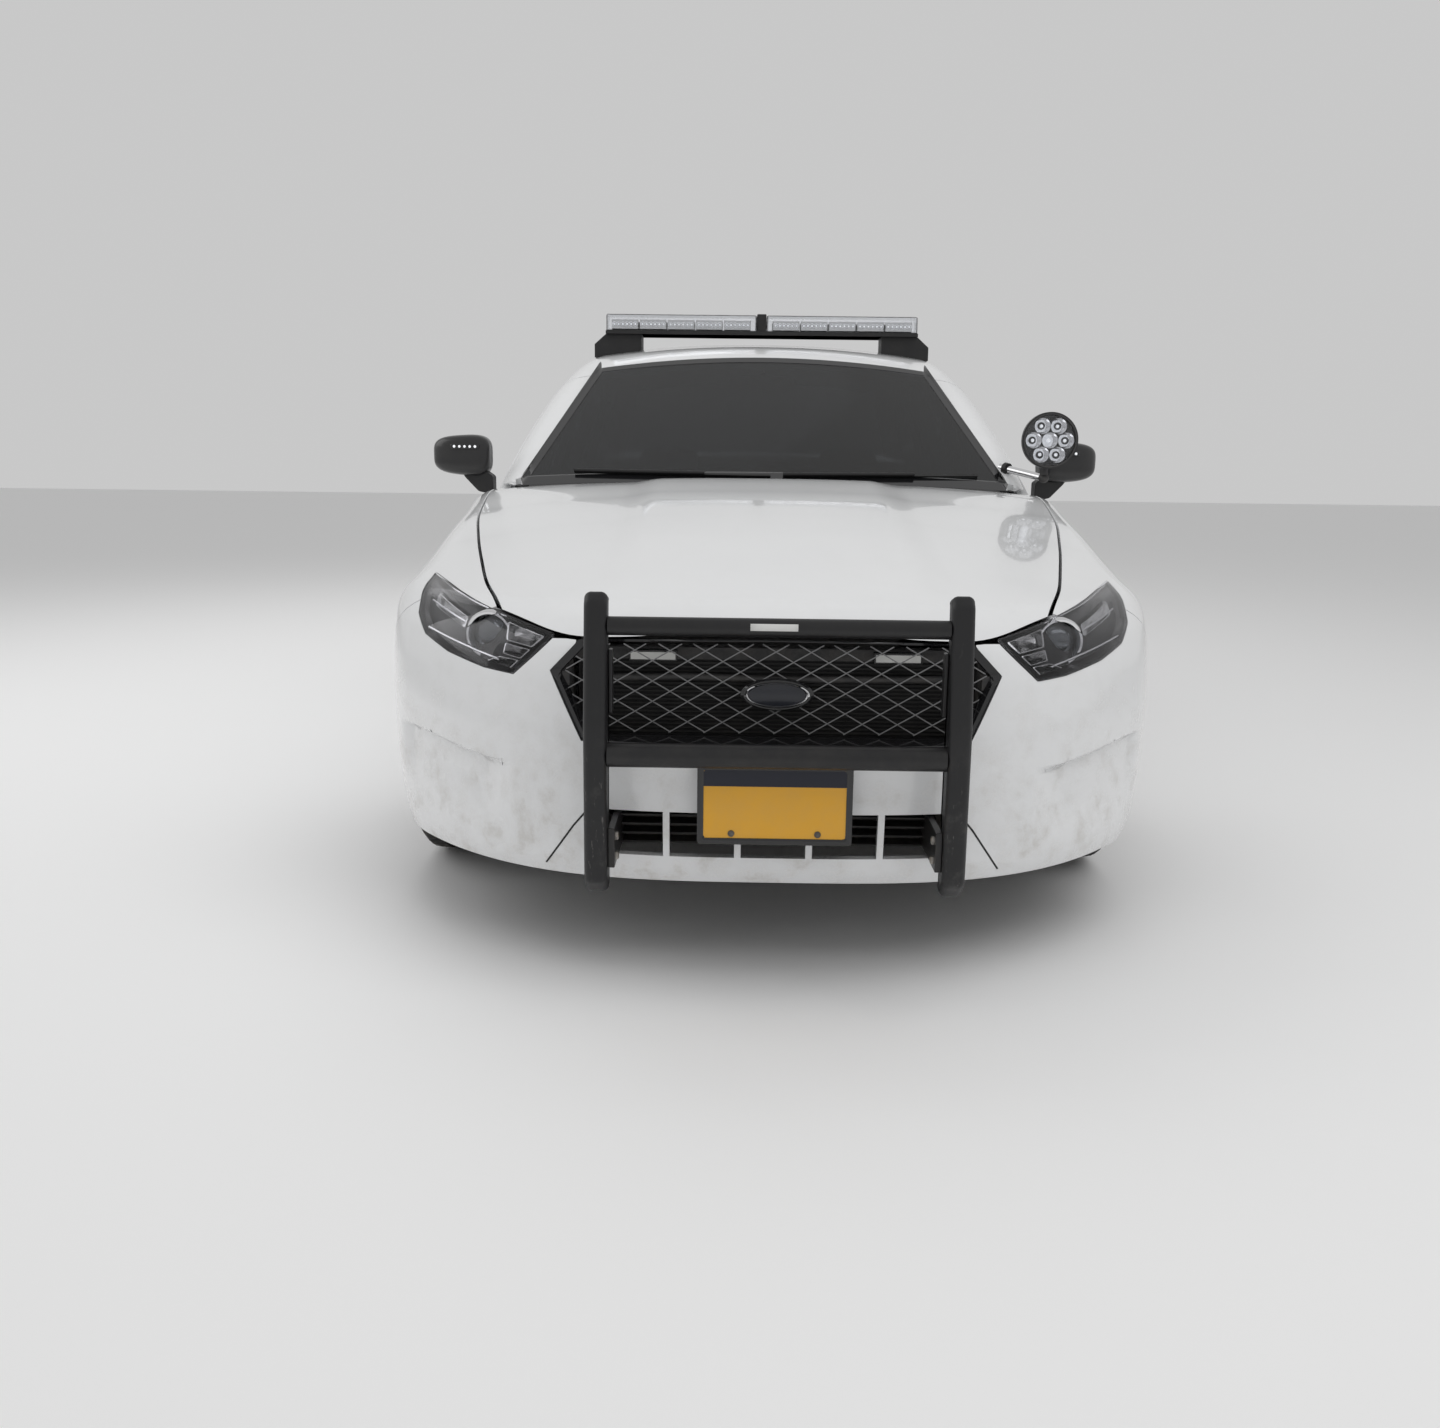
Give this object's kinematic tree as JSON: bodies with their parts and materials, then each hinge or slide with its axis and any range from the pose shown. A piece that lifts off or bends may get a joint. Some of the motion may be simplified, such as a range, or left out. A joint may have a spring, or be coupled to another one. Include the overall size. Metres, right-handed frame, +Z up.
{
  "type": "police patrol car",
  "caption": "Police patrol saloon with push guard, roof light bar and pillar spotlight; its wheels roll and steer, and its doors, hood and boot lid open.",
  "frame": {"origin": "on the ground under the middle of the overall length, push guard included", "axes": "+X forward, +Y to the car's left, +Z up"},
  "size_m": [5.264, 2.192, 1.664],
  "materials": {
    "white_paint": "glossy white paint with road dust and scuffs",
    "body_dark": "dark underbody coating",
    "guard_paint": "black powder coat, scratched at the edges",
    "plate_paint": "blank plate, orange-yellow with a dark blue band",
    "window_glass": "tinted safety glass",
    "clear_lens": "clear lens",
    "red_lens": "red lens",
    "black_plastic": "textured black plastic",
    "interior_plastic": "grained dark interior plastic",
    "seat_fabric": "dark woven seat cloth",
    "lamp_metal": "polished lamp housing",
    "bare_aluminium": "bare fins",
    "bare_steel": "dull steel",
    "dark_metal": "cast and pressed dark steel",
    "wheel_metal": "grey steel wheel with bare brake disc",
    "tyre": "tyre rubber"
  },
  "bodies": {
    "body": {"cowl_panel": "black_plastic", "dashboard": "interior_plastic", "engine_block": "dark_metal", "exhaust": "bare_steel", "fender_left": "white_paint", "fender_right": "white_paint", "floor_pan": "body_dark", "front_bumper_cover": "white_paint", "front_liners": "black_plastic", "front_seats": "seat_fabric", "front_suspension": "dark_metal", "fuel_tank": "black_plastic", "grille_mesh": "black_plastic", "headlamps": "clear_lens", "light_bar_base": "black_plastic", "light_bar_lenses": "clear_lens", "number_plate": "plate_paint", "parcel_shelf": "interior_plastic", "push_guard": "guard_paint", "radiator": "bare_aluminium", "rear_bumper_cover": "white_paint", "rear_liners": "black_plastic", "rear_seat": "seat_fabric", "rear_suspension": "dark_metal", "rear_window": "window_glass", "roof_panel": "white_paint", "side_frame_left": "white_paint", "side_frame_right": "white_paint", "spotlight": "lamp_metal", "tail_lamps": "red_lens", "windshield": "window_glass", "wipers": "black_plastic"},
    "door_front_left": {"door_front_left": "white_paint", "glass_front_left": "window_glass", "mirror_left": "black_plastic"},
    "door_rear_left": {"door_rear_left": "white_paint", "glass_rear_left": "window_glass"},
    "knuckle_left": {"knuckle_left": "dark_metal"},
    "wheel_front_left": {"tyre_front_left": "tyre", "rim_front_left": "wheel_metal"},
    "wheel_rear_left": {"tyre_rear_left": "tyre", "rim_rear_left": "wheel_metal"},
    "door_front_right": {"door_front_right": "white_paint", "glass_front_right": "window_glass", "mirror_right": "black_plastic"},
    "door_rear_right": {"door_rear_right": "white_paint", "glass_rear_right": "window_glass"},
    "knuckle_right": {"knuckle_right": "dark_metal"},
    "wheel_front_right": {"tyre_front_right": "tyre", "rim_front_right": "wheel_metal"},
    "wheel_rear_right": {"tyre_rear_right": "tyre", "rim_rear_right": "wheel_metal"},
    "hood": {"hood": "white_paint"},
    "trunk_lid": {"trunk_lid": "white_paint"},
    "steering_wheel": {"steering_wheel": "interior_plastic"}
  },
  "joints": [
    {"name": "door_front_left_hinge", "type": "hinge", "parent": "body", "child": "door_front_left", "pos_m": [0.9575, 0.966, 0.65], "axis": [0, 0, -1], "range_deg": [0, 65]},
    {"name": "door_rear_left_hinge", "type": "hinge", "parent": "body", "child": "door_rear_left", "pos_m": [-0.1515, 0.96, 0.65], "axis": [0, 0, -1], "range_deg": [0, 65]},
    {"name": "door_front_right_hinge", "type": "hinge", "parent": "body", "child": "door_front_right", "pos_m": [0.9575, -0.966, 0.65], "axis": [0, 0, 1], "range_deg": [0, 65]},
    {"name": "door_rear_right_hinge", "type": "hinge", "parent": "body", "child": "door_rear_right", "pos_m": [-0.1515, -0.96, 0.65], "axis": [0, 0, 1], "range_deg": [0, 65]},
    {"name": "hood_hinge", "type": "hinge", "parent": "body", "child": "hood", "pos_m": [0.92, 0, 1.05], "axis": [0, -1, 0], "range_deg": [0, 50]},
    {"name": "trunk_hinge", "type": "hinge", "parent": "body", "child": "trunk_lid", "pos_m": [-1.934, 0, 1.12], "axis": [0, 1, 0], "range_deg": [0, 75]},
    {"name": "steer_left", "type": "hinge", "parent": "body", "child": "knuckle_left", "pos_m": [1.512, 0.83, 0.363], "axis": [0, 0, 1], "range_deg": [-33, 33]},
    {"name": "steer_right", "type": "hinge", "parent": "body", "child": "knuckle_right", "pos_m": [1.512, -0.83, 0.363], "axis": [0, 0, 1], "range_deg": [-33, 33]},
    {"name": "steering_wheel_turn", "type": "hinge", "parent": "body", "child": "steering_wheel", "pos_m": [0.47, 0.37, 0.915], "axis": [-0.8988, 0, 0.4384], "range_deg": [-500, 500]},
    {"name": "wheel_front_left_spin", "type": "hinge", "parent": "knuckle_left", "child": "wheel_front_left", "pos_m": [1.512, 0.83, 0.363], "axis": [0, 1, 0], "continuous": true},
    {"name": "wheel_rear_left_spin", "type": "hinge", "parent": "body", "child": "wheel_rear_left", "pos_m": [-1.356, 0.83, 0.363], "axis": [0, 1, 0], "continuous": true},
    {"name": "wheel_front_right_spin", "type": "hinge", "parent": "knuckle_right", "child": "wheel_front_right", "pos_m": [1.512, -0.83, 0.363], "axis": [0, 1, 0], "continuous": true},
    {"name": "wheel_rear_right_spin", "type": "hinge", "parent": "body", "child": "wheel_rear_right", "pos_m": [-1.356, -0.83, 0.363], "axis": [0, 1, 0], "continuous": true}
  ],
  "couplings": [
    {"joint": "steer_right", "follows": "steer_left", "ratio": 1},
    {"joint": "steering_wheel_turn", "follows": "steer_left", "ratio": 15}
  ]
}
